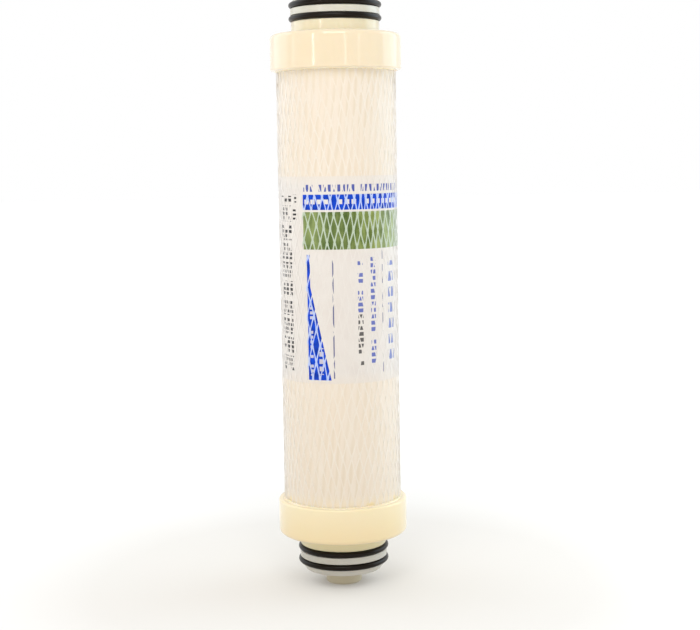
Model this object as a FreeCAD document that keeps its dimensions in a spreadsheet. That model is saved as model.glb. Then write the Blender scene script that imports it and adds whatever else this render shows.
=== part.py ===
"""A double-ended reverse-osmosis membrane element, standing on its lower product stub.

A perforated product tube carries one long membrane leaf, rolled up with a permeate carrier and a feed spacer.
The roll is taped, labelled and pulled into an open-mesh net sleeve. A cream end cap is bonded over each end of
the net. A white seal carrier is pressed into the neck of each cap and holds two O-rings, and the tube passes
through its hub and stands a few millimetres proud of it.

Millimetres. +Z is the axis of the tube, and the origin is the centre of the lower end of the tube.
Both ends are alike: the upper cap, carrier, rings and bond are the lower ones turned over.
"""
import FreeCAD
import Part
import Sketcher
import math
import os

App = FreeCAD
V = App.Vector
doc = App.newDocument("membrane_element")

# ---------------------------------------------------------------- driving sizes
SIZES = [
    ("total_len", 242.0, "overall length over both product stubs"),
    ("bore_rad", 5.0, "product tube, inside"),
    ("tube_rad", 7.5, "product tube, outside, within the roll"),
    ("stub_rad", 7.25, "turned sealing end of the tube"),
    ("stub_len", 5.85, "length of the turned end, which stands out of the seal carrier"),
    ("tube_cham", 0.4, "chamfers at the tube ends"),
    ("perf_rad", 0.8, "permeate holes in the tube"),
    ("perf_first", 41.0, "height of the first pair of holes"),
    ("perf_pitch", 20.0, "spacing of the holes in one row"),
    ("face_low", 5.85, "outer face of the seal carrier above the foot"),
    ("nose_rad", 15.3, "seal carrier, edge of the outer face"),
    ("lead_rad", 17.2, "inner end of the lead-in taper, beside the outer groove"),
    ("land_rad", 17.65, "seal carrier, land between the grooves"),
    ("groove_rad", 16.02, "bottom of the O-ring grooves, and the pressed spigot"),
    ("groove_a_low", 8.50, "outer groove, lower flank"),
    ("groove_a_top", 11.15, "outer groove, upper flank"),
    ("groove_b_low", 13.75, "inner groove, lower flank"),
    ("spigot_top", 25.3, "inner end of the pressed spigot"),
    ("carrier_bore", 13.6, "seal carrier, flow passage"),
    ("web_top", 8.9, "inner face of the windowed web"),
    ("hub_rad", 9.5, "hub that holds the tube"),
    ("hub_bore", 7.52, "hub bore"),
    ("hub_top", 17.7, "inner end of the hub"),
    ("win_in", 9.9, "flow windows, inner radius"),
    ("win_out", 13.2, "flow windows, outer radius"),
    ("win_half", 22.0, "half the angle of one window, degrees"),
    ("win_count", 6, "flow windows"),
    ("ring_sec", 1.15, "O-ring section radius"),
    ("ring_mid", 17.19, "O-ring mid radius"),
    ("ring_a_z", 9.75, "outer O-ring height"),
    ("ring_b_z", 15.0, "inner O-ring height"),
    ("neck_rad", 17.4, "cap neck, outside"),
    ("neck_bore", 16.04, "cap neck, bore for the seal carrier"),
    ("neck_low", 16.25, "end of the neck, upper flank of the inner groove"),
    ("cap_low", 21.0, "outer face of the cap"),
    ("cap_floor", 23.6, "inner face of the cap floor"),
    ("cap_rad", 26.0, "cap skirt, outside"),
    ("cap_in", 24.15, "cap skirt, inside"),
    ("cap_top", 35.3, "rim of the skirt"),
    ("cap_fil", 2.0, "fillet round the cap's outer face"),
    ("rim_fil", 0.8, "fillet on the rim"),
    ("neck_fil", 0.5, "fillet at the root of the neck"),
    ("rib_in", 16.3, "inner end of the ribs that hold the roll off the cap floor"),
    ("rib_out", 23.7, "outer end of the ribs"),
    ("rib_wide", 1.6, "rib thickness"),
    ("rib_count", 8, "ribs"),
    ("roll_low", 26.8, "lower end of the roll and net, which rest on the ribs"),
    ("tape_in", 22.72, "roll tape, inside"),
    ("tape_out", 22.84, "roll tape, outside: the 1.8 inch roll"),
    ("label_in", 22.86, "printed label, inside"),
    ("label_out", 22.96, "printed label, outside"),
    ("label_low", 85.0, "lower edge of the label"),
    ("label_high", 165.5, "upper edge of the label"),
    ("label_gap", 4.0, "half the angle of the label's open seam, degrees"),
    ("net_in", 22.98, "net sleeve, inside"),
    ("net_out", 23.75, "net sleeve, outside"),
    ("bond_in", 23.77, "adhesive ring between net and skirt, inside"),
    ("bond_out", 24.13, "adhesive ring, outside"),
    ("bond_top", 35.9, "adhesive ring, outer end: a bead squeezed out past the rim"),
    ("glue_wide", 14.0, "glued band along each end of the leaf"),
    ("sheet_gap", 0.02, "play between the wound sheets"),
    ("carrier_thk", 0.30, "permeate carrier"),
    ("film_thk", 0.15, "membrane sheet"),
    ("spacer_thk", 0.70, "feed spacer"),
    ("half_turns", 20, "half turns of the leaf round the tube"),
]
sheet = doc.addObject("Spreadsheet::Sheet", "sizes")
for row, (alias, value, note) in enumerate(SIZES, start=1):
    sheet.set("A%d" % row, alias)
    sheet.set("B%d" % row, str(value))
    sheet.set("C%d" % row, note)
    sheet.setAlias("B%d" % row, alias)
doc.recompute()


def size(alias):
    return float(sheet.get(alias))


# ---------------------------------------------------------------- helpers
def plane_of(body, role):
    for feature in body.Origin.OriginFeatures:
        if feature.Role == role:
            return feature
    raise RuntimeError("no plane " + role)


def new_body(label):
    body = doc.addObject("PartDesign::Body", label)
    body.Label = label
    return body


def new_sketch(body, name, role):
    sketch = body.newObject("Sketcher::SketchObject", name)
    sketch.AttachmentSupport = (plane_of(body, role), [""])
    sketch.MapMode = "FlatFace"
    return sketch


def value_of(expression):
    """What a sum of terms such as 'sizes.cap_rad - 0.5 * sizes.rib_wide' comes to with the sheet's numbers."""
    total = 0.0
    for term in expression.replace("- ", "+ -1 * ").split("+ "):
        if term.strip():
            factor = 1.0
            for piece in term.split("*"):
                piece = piece.strip()
                factor *= size(piece[6:]) if piece.startswith("sizes.") else float(piece)
            total += factor
    return total


def bind(sketch, kind, *args):
    """Adds a dimension and ties it to an expression: the last two arguments are its value and the expression."""
    made = sketch.addConstraint(Sketcher.Constraint(kind, *args[:-1]))
    sketch.setExpression("Constraints[%d]" % made, args[-1])


def outline(sketch, corners):
    """A closed run of straight lines through corners, each corner held by its two sizes."""
    points = [V(value_of(x), value_of(y), 0) for x, y in corners]
    count = len(points)
    for i in range(count):
        sketch.addGeometry(Part.LineSegment(points[i], points[(i + 1) % count]), False)
    for i in range(count):
        sketch.addConstraint(Sketcher.Constraint("Coincident", i, 2, (i + 1) % count, 1))
    for i, (x, y) in enumerate(corners):
        bind(sketch, "DistanceX", -1, 1, i, 1, points[i].x, x)
        if abs(points[i].y) < 1e-9:
            sketch.addConstraint(Sketcher.Constraint("PointOnObject", i, 1, -1))
        else:
            bind(sketch, "DistanceY", -1, 1, i, 1, points[i].y, y)


def circle(sketch, y, radius):
    """A circle on the sketch's vertical axis, held by its height and its radius."""
    made = sketch.addGeometry(Part.Circle(V(0, value_of(y) if y else 0.0, 0), V(0, 0, 1), value_of(radius)), False)
    sketch.addConstraint(Sketcher.Constraint("PointOnObject", made, 3, -2))
    if y:
        bind(sketch, "DistanceY", -1, 1, made, 3, value_of(y), y)
    else:
        sketch.addConstraint(Sketcher.Constraint("PointOnObject", made, 3, -1))
    bind(sketch, "Radius", made, value_of(radius), radius)


def arc_band(sketch, inner, outer, first, last, first_text, last_text):
    """A piece of a ring between two radii and two angles, centred on the origin."""
    ri, ro = value_of(inner), value_of(outer)
    for r in (ri, ro):
        sketch.addGeometry(Part.ArcOfCircle(Part.Circle(V(0, 0, 0), V(0, 0, 1), r), first, last), False)
    for a in (first, last):
        sketch.addGeometry(Part.LineSegment(V(ri * math.cos(a), ri * math.sin(a), 0),
                                            V(ro * math.cos(a), ro * math.sin(a), 0)), False)
    for arc in (0, 1):
        sketch.addConstraint(Sketcher.Constraint("Coincident", arc, 3, -1, 1))
        sketch.addConstraint(Sketcher.Constraint("Coincident", arc, 1, 2, arc + 1))
        sketch.addConstraint(Sketcher.Constraint("Coincident", arc, 2, 3, arc + 1))
    bind(sketch, "Radius", 0, ri, inner)
    bind(sketch, "Radius", 1, ro, outer)
    for line_no, angle, text in ((2, first, first_text), (3, last, last_text)):
        sketch.addConstraint(Sketcher.Constraint("PointOnObject", -1, 1, line_no))
        bind(sketch, "Angle", line_no, angle, text)


def lift(sketch, expression):
    """Raises a sketch above its plane."""
    sketch.AttachmentOffset = App.Placement(V(0, 0, value_of(expression)), App.Rotation())
    sketch.setExpression(".AttachmentOffset.Base.z", expression)


def revolve(body, sketch, name):
    turn = body.newObject("PartDesign::Revolution", name)
    turn.Profile = sketch
    turn.ReferenceAxis = (sketch, ["V_Axis"])
    turn.Angle = 360.0
    doc.recompute()
    return turn


def repeat(body, feature, sketch, name, count):
    pattern = body.newObject("PartDesign::PolarPattern", name)
    pattern.Originals = [feature]
    pattern.Axis = (sketch, ["N_Axis"])
    pattern.Angle = 360.0
    pattern.setExpression("Occurrences", count)
    body.Tip = pattern
    doc.recompute()
    return pattern


def round_edge(body, base, name, radius, height, fillet_size):
    """Rounds the circular edges of that radius at that height."""
    found = []
    for i, edge in enumerate(base.Shape.Edges, start=1):
        curve = edge.Curve
        if hasattr(curve, "Radius") and abs(curve.Radius - radius) < 0.02 and abs(curve.Center.z - height) < 0.02:
            found.append("Edge%d" % i)
    if not found:
        raise RuntimeError(name + " found no edge")
    fillet = body.newObject("PartDesign::Fillet", name)
    fillet.Base = (base, found)
    fillet.setExpression("Radius", fillet_size)
    body.Tip = fillet
    doc.recompute()
    return fillet


def turn_over(body):
    """Turns a finished lower piece over, so that it sits at the upper end."""
    body.Placement = App.Placement(V(0, 0, size("total_len")), App.Rotation(V(1, 0, 0), 180))
    body.setExpression(".Placement.Base.z", "sizes.total_len")


PARTS = []


def keep(obj):
    PARTS.append(obj)
    return obj


# ---------------------------------------------------------------- product tube
tube = keep(new_body("permeate_tube"))
s = new_sketch(tube, "tube_profile", "XZ_Plane")
outline(s, [
    ("sizes.bore_rad + sizes.tube_cham", "0"),
    ("sizes.stub_rad - sizes.tube_cham", "0"),
    ("sizes.stub_rad", "sizes.tube_cham"),
    ("sizes.stub_rad", "sizes.stub_len"),
    ("sizes.tube_rad", "sizes.stub_len"),
    ("sizes.tube_rad", "sizes.total_len - sizes.stub_len"),
    ("sizes.stub_rad", "sizes.total_len - sizes.stub_len"),
    ("sizes.stub_rad", "sizes.total_len - sizes.tube_cham"),
    ("sizes.stub_rad - sizes.tube_cham", "sizes.total_len"),
    ("sizes.bore_rad + sizes.tube_cham", "sizes.total_len"),
    ("sizes.bore_rad", "sizes.total_len - sizes.tube_cham"),
    ("sizes.bore_rad", "sizes.tube_cham"),
])
last = revolve(tube, s, "tube_turn")
# Rows of small holes let permeate through the wall: one row fore and aft, one left and right, half a pitch up.
for name, role, shift, count in (("holes_fore_aft", "XZ_Plane", 0.0, 9), ("holes_left_right", "YZ_Plane", 0.5, 8)):
    before = last.Shape.Volume
    s = new_sketch(tube, name + "_sketch", role)
    for i in range(count):
        circle(s, "sizes.perf_first + %.1f * sizes.perf_pitch" % (i + shift), "sizes.perf_rad")
    doc.recompute()
    last = tube.newObject("PartDesign::Pocket", name)
    last.Profile = s
    last.Midplane = True
    last.setExpression("Length", "2 * sizes.tube_rad + 4")
    doc.recompute()
    taken = before - last.Shape.Volume
    wanted = count * 2 * math.pi * size("perf_rad") ** 2 * (size("tube_rad") - size("bore_rad"))
    if abs(taken - wanted) > 0.05 * wanted:
        raise RuntimeError("%s took %.1f mm3, not %.1f" % (name, taken, wanted))


# ---------------------------------------------------------------- end caps
def end_cap(label):
    """Cream cap: a skirt over the net, a floor with ribs, and a neck for the seal carrier."""
    body = keep(new_body(label))
    profile = new_sketch(body, label + "_profile", "XZ_Plane")
    outline(profile, [
        ("sizes.neck_bore", "sizes.neck_low"),
        ("sizes.neck_rad", "sizes.neck_low"),
        ("sizes.neck_rad", "sizes.cap_low"),
        ("sizes.cap_rad", "sizes.cap_low"),
        ("sizes.cap_rad", "sizes.cap_top"),
        ("sizes.cap_in", "sizes.cap_top"),
        ("sizes.cap_in", "sizes.cap_floor"),
        ("sizes.neck_bore", "sizes.cap_floor"),
    ])
    done = revolve(body, profile, label + "_turn")
    done = round_edge(body, done, label + "_edge", size("cap_rad"), size("cap_low"), "sizes.cap_fil")
    done = round_edge(body, done, label + "_rim", size("cap_rad"), size("cap_top"), "sizes.rim_fil")
    done = round_edge(body, done, label + "_root", size("neck_rad"), size("cap_low"), "sizes.neck_fil")
    # ribs on the floor, which the end of the roll rests on
    rib_sketch = new_sketch(body, label + "_rib_sketch", "XY_Plane")
    lift(rib_sketch, "sizes.cap_floor - 0.5")
    outline(rib_sketch, [
        ("sizes.rib_in", "- 0.5 * sizes.rib_wide"),
        ("sizes.rib_out", "- 0.5 * sizes.rib_wide"),
        ("sizes.rib_out", "0.5 * sizes.rib_wide"),
        ("sizes.rib_in", "0.5 * sizes.rib_wide"),
    ])
    doc.recompute()
    rib = body.newObject("PartDesign::Pad", label + "_rib")
    rib.Profile = rib_sketch
    rib.setExpression("Length", "sizes.roll_low - sizes.cap_floor + 0.5")
    doc.recompute()
    before = done.Shape.Volume
    ribs = repeat(body, rib, rib_sketch, label + "_ribs", "sizes.rib_count")
    added = ribs.Shape.Volume - before
    wanted = size("rib_count") * size("rib_wide") * (size("rib_out") - size("rib_in")) * (size("roll_low") - size("cap_floor"))
    if abs(added - wanted) > 0.02 * wanted:
        raise RuntimeError("%s ribs added %.1f mm3, not %.1f" % (label, added, wanted))
    return body


end_cap("end_cap_lower")
turn_over(end_cap("end_cap_upper"))


# ---------------------------------------------------------------- seal carriers
def seal_carrier(label):
    """White spigot piece: two O-ring grooves, a windowed web, a hub for the tube and a spigot in the cap's neck."""
    body = keep(new_body(label))
    profile = new_sketch(body, label + "_profile", "XZ_Plane")
    outline(profile, [
        ("sizes.hub_bore", "sizes.face_low"),
        ("sizes.nose_rad", "sizes.face_low"),
        ("sizes.lead_rad", "sizes.groove_a_low"),
        ("sizes.groove_rad", "sizes.groove_a_low"),
        ("sizes.groove_rad", "sizes.groove_a_top"),
        ("sizes.land_rad", "sizes.groove_a_top"),
        ("sizes.land_rad", "sizes.groove_b_low"),
        ("sizes.groove_rad", "sizes.groove_b_low"),
        ("sizes.groove_rad", "sizes.spigot_top"),
        ("sizes.carrier_bore", "sizes.spigot_top"),
        ("sizes.carrier_bore", "sizes.web_top"),
        ("sizes.hub_rad", "sizes.web_top"),
        ("sizes.hub_rad", "sizes.hub_top"),
        ("sizes.hub_bore", "sizes.hub_top"),
    ])
    turned = revolve(body, profile, label + "_turn")
    # one arc-shaped window through the web, then the ring of them
    half = math.radians(size("win_half"))
    win = new_sketch(body, label + "_window_sketch", "XY_Plane")
    lift(win, "sizes.face_low - 1")
    arc_band(win, "sizes.win_in", "sizes.win_out", -half, half, "-sizes.win_half * 1 deg", "sizes.win_half * 1 deg")
    doc.recompute()
    cut = body.newObject("PartDesign::Pocket", label + "_window")
    cut.Profile = win
    cut.Reversed = True
    cut.setExpression("Length", "sizes.web_top - sizes.face_low + 2")
    doc.recompute()
    wins = repeat(body, cut, win, label + "_windows", "sizes.win_count")
    taken = turned.Shape.Volume - wins.Shape.Volume
    wanted = size("win_count") * half * (size("win_out") ** 2 - size("win_in") ** 2) * (size("web_top") - size("face_low"))
    if abs(taken - wanted) > 0.02 * wanted:
        raise RuntimeError("%s windows took %.1f mm3, not %.1f" % (label, taken, wanted))
    return body


seal_carrier("seal_carrier_lower")
turn_over(seal_carrier("seal_carrier_upper"))


# ---------------------------------------------------------------- O-rings
def o_ring(label, height, upper):
    ring = keep(doc.addObject("Part::Torus", label))
    ring.Label = label
    ring.setExpression("Radius1", "sizes.ring_mid")
    ring.setExpression("Radius2", "sizes.ring_sec")
    ring.Placement = App.Placement(V(0, 0, 1), App.Rotation())
    place = "sizes.total_len - sizes.%s" % height if upper else "sizes.%s" % height
    ring.setExpression(".Placement.Base.z", place)


o_ring("o_ring_lower_outer", "ring_a_z", False)
o_ring("o_ring_lower_inner", "ring_b_z", False)
o_ring("o_ring_upper_inner", "ring_b_z", True)
o_ring("o_ring_upper_outer", "ring_a_z", True)


# ---------------------------------------------------------------- round sleeves
def sleeve(label, inner, outer, low, length):
    """A plain ring or tube: a padded pair of circles."""
    body = keep(new_body(label))
    section = new_sketch(body, label + "_section", "XY_Plane")
    circle(section, None, "sizes." + outer)
    circle(section, None, "sizes." + inner)
    lift(section, low)
    doc.recompute()
    pad = body.newObject("PartDesign::Pad", label + "_pad")
    pad.Profile = section
    pad.setExpression("Length", length)
    doc.recompute()
    return body


# tape that holds the roll shut, as long as the roll
sleeve("roll_tape", "tape_in", "tape_out", "sizes.roll_low", "sizes.total_len - 2 * sizes.roll_low")
# the extruded net pulled over the label; a plain tube here, with its true inner and outer sizes
sleeve("net_sleeve", "net_in", "net_out", "sizes.roll_low", "sizes.total_len - 2 * sizes.roll_low")
# adhesive between the net and each skirt
sleeve("bond_ring_lower", "bond_in", "bond_out", "sizes.roll_low", "sizes.bond_top - sizes.roll_low")
turn_over(sleeve("bond_ring_upper", "bond_in", "bond_out", "sizes.roll_low", "sizes.bond_top - sizes.roll_low"))

# ---------------------------------------------------------------- label
label = keep(new_body("label"))
s = new_sketch(label, "label_section", "XY_Plane")
lift(s, "sizes.label_low")
seam = math.radians(size("label_gap"))
# the open seam is at the back of the element, on +Y
arc_band(s, "sizes.label_in", "sizes.label_out", math.pi / 2 + seam, 2 * math.pi + math.pi / 2 - seam,
         "90 deg + sizes.label_gap * 1 deg", "90 deg - sizes.label_gap * 1 deg")
doc.recompute()
pad = label.newObject("PartDesign::Pad", "label_pad")
pad.Profile = s
pad.setExpression("Length", "sizes.label_high - sizes.label_low")
doc.recompute()

# ---------------------------------------------------------------- the wound leaf
# Each sheet is one solid whose section is a two-centre spiral: half turns of growing radius, whose centres lie a
# quarter pitch either side of the axis, so every sheet is exactly parallel to the next.
gap, film, halves = size("sheet_gap"), size("film_thk"), int(size("half_turns"))
low, high = size("roll_low"), size("total_len") - size("roll_low")
c0 = size("tube_rad") + gap  # permeate carrier, inside
c1 = c0 + size("carrier_thk")
a0 = c1 + gap  # inner half of the folded membrane
a1 = a0 + film
s0 = a1 + gap  # feed spacer
s1 = s0 + size("spacer_thk")
b0 = s1 + gap  # outer half of the folded membrane
b1 = b0 + film
pitch = b1 + gap - c0
if b1 + halves * pitch / 2 + gap > size("tape_in") + 1e-6:
    raise RuntimeError("the roll is too thick for its tape: %.2f" % (b1 + halves * pitch / 2))


def arc_point(start, k, angle):
    """The point at that angle of half turn k of the spiral that crosses +X at start."""
    centre = -pitch / 4 if k % 2 == 0 else pitch / 4
    radius = start + pitch / 4 + k * pitch / 2
    return V(centre + radius * math.cos(angle), radius * math.sin(angle), 0)


def spiral(start, first=0, height=0.0):
    """Half turns of that spiral from the first on. With a height, it begins that far above the X axis."""
    edges = []
    for k in range(first, halves):
        begin = math.pi * (k % 2)
        if height and k == first:
            begin += math.asin(height / (start + pitch / 4 + k * pitch / 2))
        end = math.pi * (k % 2 + 1)
        edges.append(Part.Arc(*[arc_point(start, k, t) for t in (begin, (begin + end) / 2, end)]).toShape())
    return edges


def first_point(edges):
    return edges[0].valueAt(edges[0].FirstParameter)


def last_point(edges):
    return edges[-1].valueAt(edges[-1].LastParameter)


def line(p, q):
    return Part.LineSegment(p, q).toShape()


def wound(name, edges, bottom, top, hole=None):
    """Extrudes a closed section from bottom to top, and compares its volume with the section's area."""
    wire = Part.Wire(Part.__sortEdges__(edges))
    if not wire.isClosed():
        raise RuntimeError(name + " section is open")
    face = Part.makeFace([wire] + ([Part.Wire([hole])] if hole else []), "Part::FaceMakerBullseye")
    solid = face.extrude(V(0, 0, top - bottom))
    wanted = face.Area * (top - bottom)
    if abs(abs(solid.Volume) - wanted) > 1e-3 * wanted:
        raise RuntimeError(name + " has the wrong volume")
    made = keep(doc.addObject("Part::Feature", name))
    made.Label = name
    made.Shape = solid
    made.Placement = App.Placement(V(0, 0, bottom), App.Rotation())


# Permeate carrier: wrapped round the tube first, then out between the backs of the membrane. Along each end of the
# roll a glued band takes its place and seals the leaf.
band = size("glue_wide")
for name, bottom, top in (("glue_line_lower", low, low + band), ("permeate_carrier", low + band, high - band),
                          ("glue_line_upper", high - band, high)):
    outer, inner = spiral(c1), spiral(c0, first=2)
    wound(name, outer + [line(last_point(outer), last_point(inner))] + inner
          + [line(first_point(inner), first_point(outer))], bottom, top,
          hole=Part.Circle(V(0, 0, 0), V(0, 0, 1), c0).toShape())
# Membrane: one sheet folded round the spacer's inner edge, so its section is a long U.
a_in, a_out = spiral(a0), spiral(a1, height=film)
b_in, b_out = spiral(b0, height=film), spiral(b1)
wound("membrane_leaf",
      a_in + [line(last_point(a_in), last_point(a_out))] + a_out + [line(first_point(a_out), first_point(b_in))]
      + b_in + [line(last_point(b_in), last_point(b_out))] + b_out + [line(first_point(b_out), first_point(a_in))],
      low, high)
# Feed spacer: inside the fold.
s_in, s_out = spiral(s0, height=film + gap), spiral(s1, height=film + gap)
wound("feed_spacer",
      s_in + [line(last_point(s_in), last_point(s_out))] + s_out + [line(first_point(s_out), first_point(s_in))],
      low, high)

# ---------------------------------------------------------------- checks and files
doc.recompute()
for obj in doc.Objects:
    bad = [state for state in obj.State if state in ("Invalid", "Error")]
    if bad:
        raise RuntimeError("%s is %s" % (obj.Name, bad))
    if obj.TypeId == "Sketcher::SketchObject" and not obj.FullyConstrained:
        raise RuntimeError(obj.Name + " isn't fully held")
for obj in PARTS:
    shape = obj.Shape
    if shape.isNull() or not shape.isValid():
        raise RuntimeError(obj.Label + " has no valid shape")
    if len(shape.Solids) != 1:
        raise RuntimeError("%s has %d solids" % (obj.Label, len(shape.Solids)))
os.makedirs("parts", exist_ok=True)
for obj in PARTS:
    shape = obj.Shape
    shape.exportStep(os.path.join("parts", obj.Label + ".step"))
    box = shape.BoundBox
    print("%-20s %9.1f mm3  z %7.2f to %7.2f  x to %.2f" % (obj.Label, shape.Volume, box.ZMin, box.ZMax, box.XMax))
print(len(PARTS), "sub-parts")
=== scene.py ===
"""Membrane element: looks, studio and camera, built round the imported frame. Metres; helper sizes are in millimetres."""
import math

import bmesh
import bpy
import numpy as np
from mathutils import Matrix, Vector


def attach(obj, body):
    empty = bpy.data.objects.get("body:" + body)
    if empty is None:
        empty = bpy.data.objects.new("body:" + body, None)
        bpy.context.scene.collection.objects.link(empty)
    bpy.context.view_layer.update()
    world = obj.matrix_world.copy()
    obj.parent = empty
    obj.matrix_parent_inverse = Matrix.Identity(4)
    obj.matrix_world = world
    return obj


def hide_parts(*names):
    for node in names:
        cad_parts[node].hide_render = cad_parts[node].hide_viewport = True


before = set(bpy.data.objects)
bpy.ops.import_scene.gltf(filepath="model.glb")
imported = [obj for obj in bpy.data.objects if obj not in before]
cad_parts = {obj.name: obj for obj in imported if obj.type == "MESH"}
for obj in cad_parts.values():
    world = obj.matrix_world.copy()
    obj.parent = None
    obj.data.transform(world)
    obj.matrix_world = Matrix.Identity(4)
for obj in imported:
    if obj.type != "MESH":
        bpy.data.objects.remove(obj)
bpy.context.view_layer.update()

MM = 0.001
TOTAL = 242.0
scene = bpy.context.scene


# ------------------------------------------------------------------ materials
def new_material(name):
    mat = bpy.data.materials.new(name)
    mat.use_nodes = True
    nodes = mat.node_tree.nodes
    for node in list(nodes):
        nodes.remove(node)
    out = nodes.new("ShaderNodeOutputMaterial")
    shader = nodes.new("ShaderNodeBsdfPrincipled")
    mat.node_tree.links.new(shader.outputs["BSDF"], out.inputs["Surface"])
    return mat, nodes, mat.node_tree.links, shader


def math_node(nodes, links, operation, a, b=None, clamp=False):
    node = nodes.new("ShaderNodeMath")
    node.operation = operation
    node.use_clamp = clamp
    for socket, value in zip(node.inputs, (a, b)):
        if value is None:
            continue
        if isinstance(value, (int, float)):
            socket.default_value = value
        else:
            links.new(value, socket)
    return node.outputs[0]


def mix_colour(nodes, links, fac, a, b):
    node = nodes.new("ShaderNodeMix")
    node.data_type = "RGBA"
    if isinstance(fac, (int, float)):
        node.inputs["Factor"].default_value = fac
    else:
        links.new(fac, node.inputs["Factor"])
    for socket, value in ((node.inputs["A"], a), (node.inputs["B"], b)):
        if isinstance(value, tuple):
            socket.default_value = (*value, 1.0)
        else:
            links.new(value, socket)
    return node.outputs["Result"]


def noise(nodes, links, vector, scale, detail=3.0, rough=0.5):
    node = nodes.new("ShaderNodeTexNoise")
    node.inputs["Scale"].default_value = scale
    node.inputs["Detail"].default_value = detail
    node.inputs["Roughness"].default_value = rough
    links.new(vector, node.inputs["Vector"])
    return node.outputs["Fac"]


def ramp(nodes, links, fac, stops):
    node = nodes.new("ShaderNodeValToRGB")
    while len(node.color_ramp.elements) < len(stops):
        node.color_ramp.elements.new(0.5)
    for element, (pos, colour) in zip(node.color_ramp.elements, stops):
        element.position = pos
        element.color = (*colour, 1.0)
    links.new(fac, node.inputs["Fac"])
    return node.outputs["Color"]


def bump(nodes, links, height, strength, distance):
    node = nodes.new("ShaderNodeBump")
    node.inputs["Strength"].default_value = strength
    node.inputs["Distance"].default_value = distance
    links.new(height, node.inputs["Height"])
    return node.outputs["Normal"]


def place(nodes, links, stretch=(1.0, 1.0, 1.0)):
    """Object coordinates, stretched."""
    coord = nodes.new("ShaderNodeTexCoord")
    mapping = nodes.new("ShaderNodeMapping")
    mapping.inputs["Scale"].default_value = stretch
    links.new(coord.outputs["Object"], mapping.inputs["Vector"])
    return mapping.outputs["Vector"]


def moulded(name, light, dark, rough=0.22, sss=0.0, radius=(1.0, 0.6, 0.3), sheen=0.0, grain=0.06, painted_shade_towards_floor=None,
           neck=None):
    """Moulded plastic: slow colour drift, faint flow streaks round the part, and a fine skin in roughness and bump."""
    mat, nodes, links, shader = new_material(name)
    where = place(nodes, links)
    streak = noise(nodes, links, place(nodes, links, (1.0, 1.0, 6.0)), 38.0, 4.0, 0.55)
    drift = noise(nodes, links, where, 55.0, 2.0)
    tone = math_node(nodes, links, "MULTIPLY_ADD", drift, 0.6)
    tone.node.inputs[2].default_value = 0.0
    tone = math_node(nodes, links, "ADD", tone, math_node(nodes, links, "MULTIPLY", streak, 0.4))
    colour = ramp(nodes, links, tone, [(0.36, dark), (0.62, light)])
    if painted_shade_towards_floor:
        # painted shade: the lower cap turns darker and more amber towards its floor, away from the lit open rim
        split = nodes.new("ShaderNodeSeparateXYZ")
        links.new(where, split.inputs[0])
        down = nodes.new("ShaderNodeMapRange")
        down.inputs["From Min"].default_value = 0.0335
        down.inputs["From Max"].default_value = 0.0235
        links.new(split.outputs["Z"], down.inputs["Value"])
        colour = mix_colour(nodes, links, down.outputs["Result"], colour, painted_shade_towards_floor)
    if neck:
        # painted light and shade: the neck of the cap gets its own tone, yellower on the upper cap and darker on the
        # lower one, for how the light falls there
        split = nodes.new("ShaderNodeSeparateXYZ")
        links.new(where, split.inputs[0])
        out = nodes.new("ShaderNodeMapRange")
        out.inputs["From Min"].default_value = 0.0996
        out.inputs["From Max"].default_value = 0.1004
        links.new(math_node(nodes, links, "ABSOLUTE", math_node(nodes, links, "SUBTRACT", split.outputs["Z"], TOTAL * MM / 2)),
                  out.inputs["Value"])
        colour = mix_colour(nodes, links, out.outputs["Result"], colour, neck)
    links.new(colour, shader.inputs["Base Color"])
    fine = noise(nodes, links, where, 900.0, 4.0, 0.6)
    level = nodes.new("ShaderNodeMapRange")
    level.inputs["From Min"].default_value = 0.3
    level.inputs["From Max"].default_value = 0.7
    level.inputs["To Min"].default_value = rough - 0.04
    level.inputs["To Max"].default_value = rough + 0.06
    links.new(fine, level.inputs["Value"])
    links.new(level.outputs["Result"], shader.inputs["Roughness"])
    links.new(bump(nodes, links, fine, grain, 0.00006), shader.inputs["Normal"])
    shader.inputs["IOR"].default_value = 1.5
    if sss:
        shader.inputs["Subsurface Weight"].default_value = sss
        shader.inputs["Subsurface Radius"].default_value = radius
        shader.inputs["Subsurface Scale"].default_value = 0.002
    if sheen:
        shader.inputs["Sheen Weight"].default_value = sheen
        shader.inputs["Sheen Roughness"].default_value = 0.35
    return mat


# one cream plastic and one white plastic, each in a copy per end tuned to its light: painted shade makes the lower cap
# a shade warmer than the paler upper cap, and the lower seal carrier darker than the upper one
M_CAP = {"upper": moulded("cap_cream_pale", (0.778, 0.654, 0.468), (0.764, 0.638, 0.448), rough=0.11, sss=0.12, sheen=0.5,
                          neck=(0.762, 0.676, 0.480)),
         "lower": moulded("cap_cream", (0.826, 0.704, 0.462), (0.812, 0.688, 0.438), rough=0.11, sss=0.12, sheen=0.5,
                          painted_shade_towards_floor=(0.812, 0.658, 0.396), neck=(0.745, 0.662, 0.410))}
M_CARRIER = {"upper": moulded("carrier_white", (0.606, 0.576, 0.492), (0.570, 0.540, 0.456), rough=0.20, sss=0.08),
             "lower": moulded("lower_carrier_painted_shade", (0.535, 0.512, 0.455), (0.500, 0.476, 0.418), rough=0.22, sss=0.08)}
M_TUBE = moulded("tube_cream", (0.640, 0.570, 0.410), (0.585, 0.515, 0.360), rough=0.34)


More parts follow.
